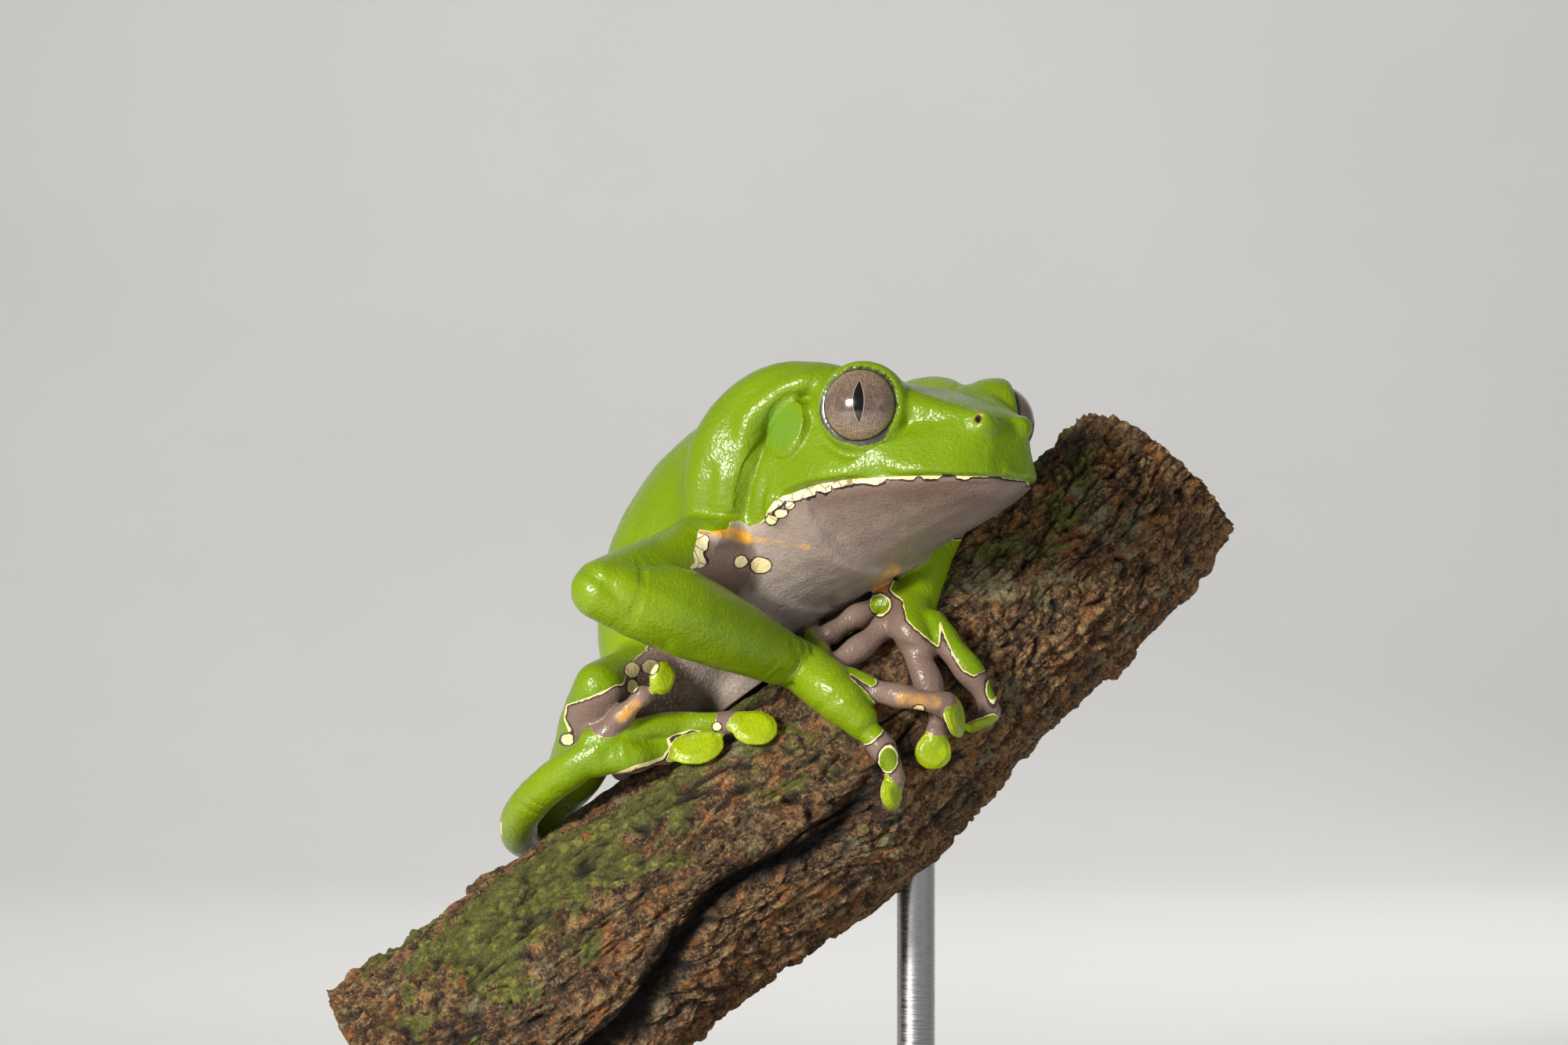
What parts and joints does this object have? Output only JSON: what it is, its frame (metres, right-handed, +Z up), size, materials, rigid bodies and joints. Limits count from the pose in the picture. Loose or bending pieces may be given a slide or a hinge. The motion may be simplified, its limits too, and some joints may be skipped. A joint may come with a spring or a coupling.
{
  "type": "giant monkey frog",
  "caption": "Life-size still model of a giant monkey frog gripping a cut length of mossy branch on a plain display stand",
  "frame": {"origin": "the middle of the underside of the stand's base", "axes": "+Z up, +X towards the branch's raised end, and the frog's snout points between +X and -Y"},
  "size_m": [0.132, 0.092, 0.1262],
  "materials": {
    "skin": "smooth wet skin, leaf green above and grey below",
    "eyes": "taupe iris with an upright slit pupil under a clear cornea",
    "bark": "rough brown bark with moss and lichen",
    "base": "dark satin wood",
    "rods": "brushed round steel rod"
  },
  "bodies": {
    "root": {"head": "skin", "torso": "skin", "upper_arm_r": "skin", "forearm_r": "skin", "hand_r": "skin", "upper_arm_l": "skin", "forearm_l": "skin", "hand_l": "skin", "thigh_r": "skin", "shank_r": "skin", "foot_r": "skin", "thigh_l": "skin", "shank_l": "skin", "foot_l": "skin", "eye_r": "eyes", "eye_l": "eyes", "perch": "bark", "stand_base": "base", "stand_rod_low": "rods", "stand_rod_high": "rods"}
  },
  "joints": []
}
